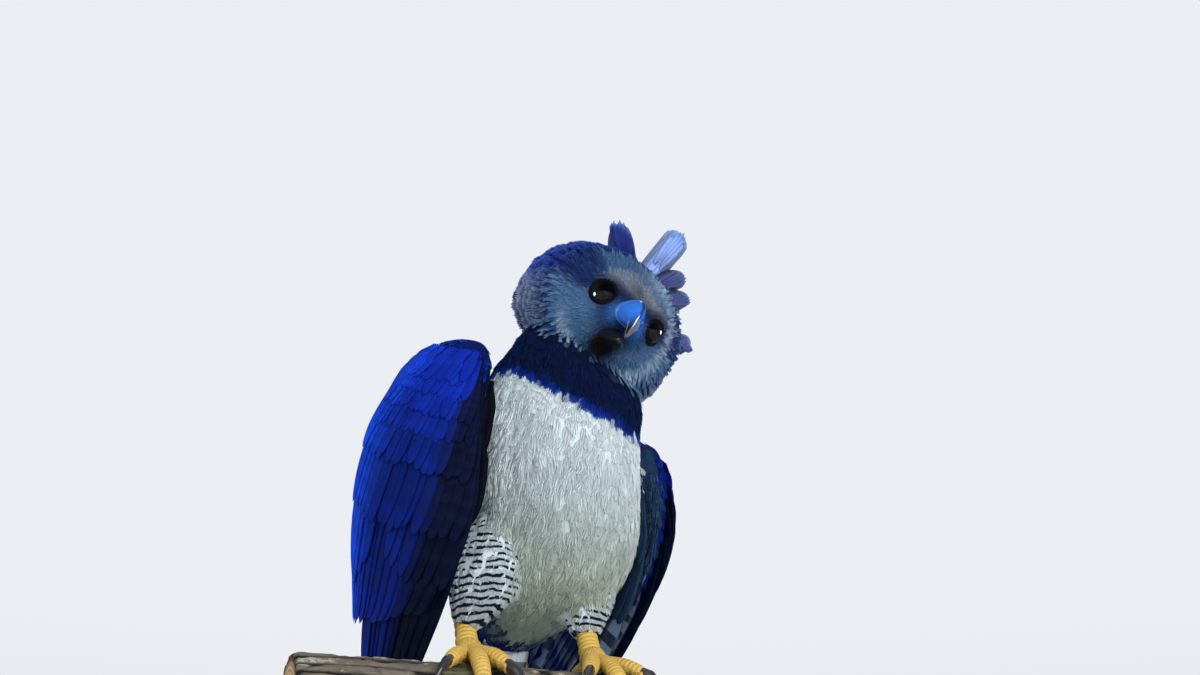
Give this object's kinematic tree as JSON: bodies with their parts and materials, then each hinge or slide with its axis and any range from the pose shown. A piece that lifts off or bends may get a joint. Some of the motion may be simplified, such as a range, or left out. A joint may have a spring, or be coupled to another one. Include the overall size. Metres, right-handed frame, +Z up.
{
  "type": "harpy eagle on a perch",
  "caption": "Life-size harpy eagle gripping a cut length of limb, its right wing held low and away from its body and its head tilted, on a plain display stand.",
  "frame": {"origin": "middle of the underside of the stand's base, on the floor", "axes": "+Z up; the bird's breast faces -Y, turned 15 degrees towards +X; its left side is +X; the perch runs along X"},
  "size_m": [0.52, 0.5073, 0.8046],
  "materials": {
    "white_down": "matt feathers",
    "collar": "matt feathers",
    "face": "matt feathers",
    "slate": "matt feathers with a faint sheen",
    "tail": "matt barred feathers",
    "thigh": "matt barred feathers",
    "bill_horn": "smooth horn",
    "bill_dark": "smooth horn",
    "eye": "wet, glossy",
    "leg_skin": "scaly skin",
    "claw": "smooth horn",
    "bark": "rough bark",
    "base_paint": "satin",
    "rod_steel": "brushed"
  },
  "bodies": {
    "root": {"torso": "white_down", "neck": "collar", "head": "face", "bill_upper": "bill_horn", "bill_lower": "bill_dark", "eye_left": "eye", "eye_right": "eye", "wing_left": "slate", "wing_right": "slate", "tail": "tail", "thigh_left": "thigh", "thigh_right": "thigh", "tarsus_left": "leg_skin", "tarsus_right": "leg_skin", "foot_left": "leg_skin", "foot_right": "leg_skin", "claw_inner_left": "claw", "claw_middle_left": "claw", "claw_outer_left": "claw", "claw_hind_left": "claw", "claw_inner_right": "claw", "claw_middle_right": "claw", "claw_outer_right": "claw", "claw_hind_right": "claw", "perch": "bark", "stand_base": "base_paint", "stand_rod_left": "rod_steel", "stand_rod_right": "rod_steel"}
  },
  "joints": []
}
